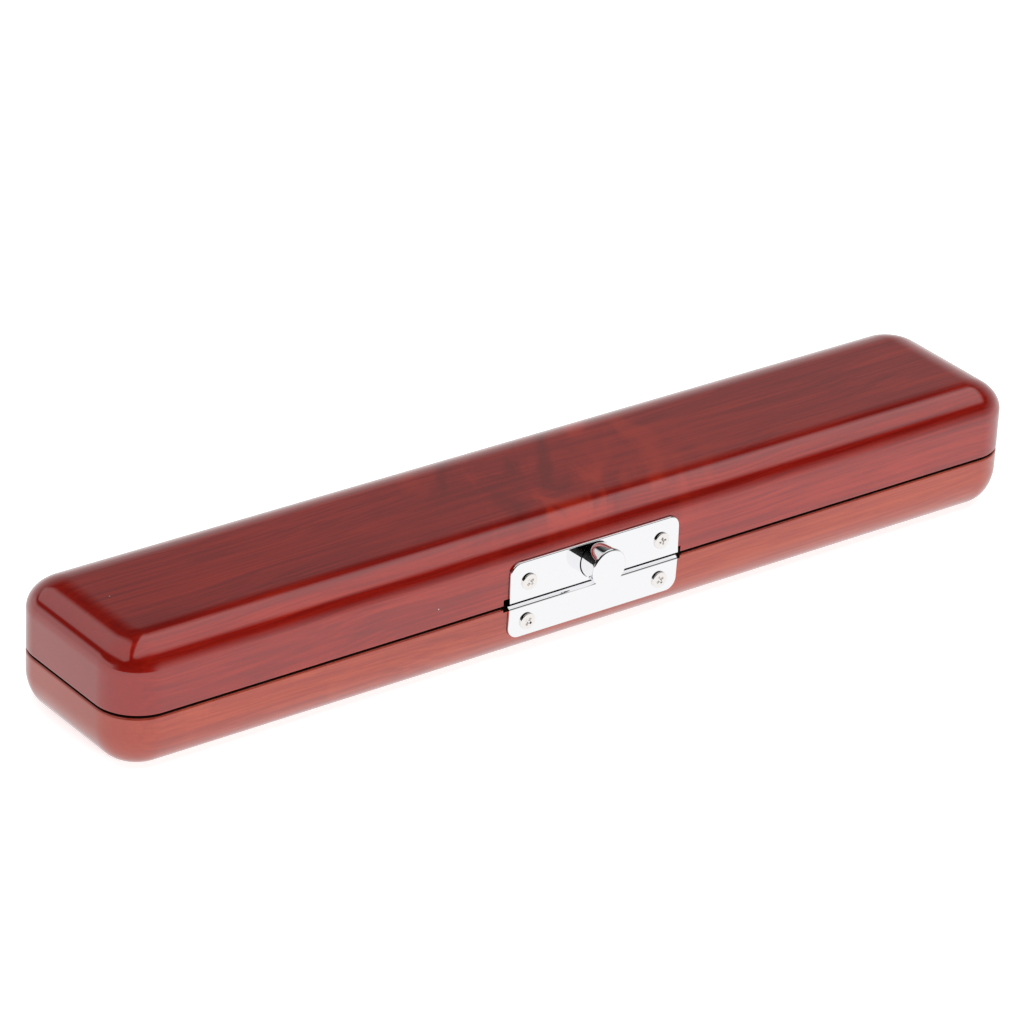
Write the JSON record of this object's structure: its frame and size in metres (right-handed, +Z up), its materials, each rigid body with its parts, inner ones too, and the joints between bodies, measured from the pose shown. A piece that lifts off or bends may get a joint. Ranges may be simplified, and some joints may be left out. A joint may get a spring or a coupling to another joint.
{
  "type": "flute head joint case",
  "caption": "Slim rounded wooden case with a hinged lid, a bright push button latch and a plush cradle for a flute head joint.",
  "frame": {"origin": "centre of the flat bottom that the case rests on", "axes": "+X along the case, +Y to the back where the hinges are, +Z up"},
  "size_m": [0.262, 0.0577, 0.0318],
  "materials": {
    "lacquered_wood": "red brown stained wood under glossy lacquer",
    "chrome_plate": "mirror bright chrome plating",
    "screw_nickel": "nickel plated, slightly warm",
    "hinge_plate": "bright chrome plating",
    "inner_steel": "zinc plated sheet",
    "spring_steel": "blued spring steel",
    "foam": "firm cut foam",
    "plush": "short black plush"
  },
  "bodies": {
    "base": {"base_shell": "lacquered_wood", "base_foam": "foam", "base_velvet": "plush", "latch_lower_plate": "chrome_plate", "latch_lower_screws": "screw_nickel", "strike_hook": "inner_steel", "strike_rivets": "inner_steel", "hinge_left_base_leaf": "hinge_plate", "hinge_left_pin": "hinge_plate", "hinge_right_base_leaf": "hinge_plate", "hinge_right_pin": "hinge_plate", "hinge_base_screws": "screw_nickel"},
    "lid": {"lid_shell": "lacquered_wood", "lid_foam": "foam", "lid_velvet": "plush", "latch_upper_plate": "chrome_plate", "latch_upper_screws": "screw_nickel", "latch_housing": "inner_steel", "catch_spring": "spring_steel", "catch_rivets": "inner_steel", "hinge_left_lid_leaf": "hinge_plate", "hinge_right_lid_leaf": "hinge_plate", "hinge_lid_screws": "screw_nickel"},
    "button": {"push_button": "chrome_plate"}
  },
  "joints": [
    {"name": "lid_hinge", "type": "hinge", "parent": "base", "child": "lid", "pos_m": [0, 0.02585, 0.0146], "axis": [-1, 0, 0], "range_deg": [0, 95], "deforming": ["catch_spring"]},
    {"name": "button_press", "type": "slide", "parent": "lid", "child": "button", "axis": [0, 1, 0], "range_m": [0, 0.0018], "stiffness_N_per_m": 500, "springref_m": -0.002, "deforming": ["catch_spring"]}
  ]
}
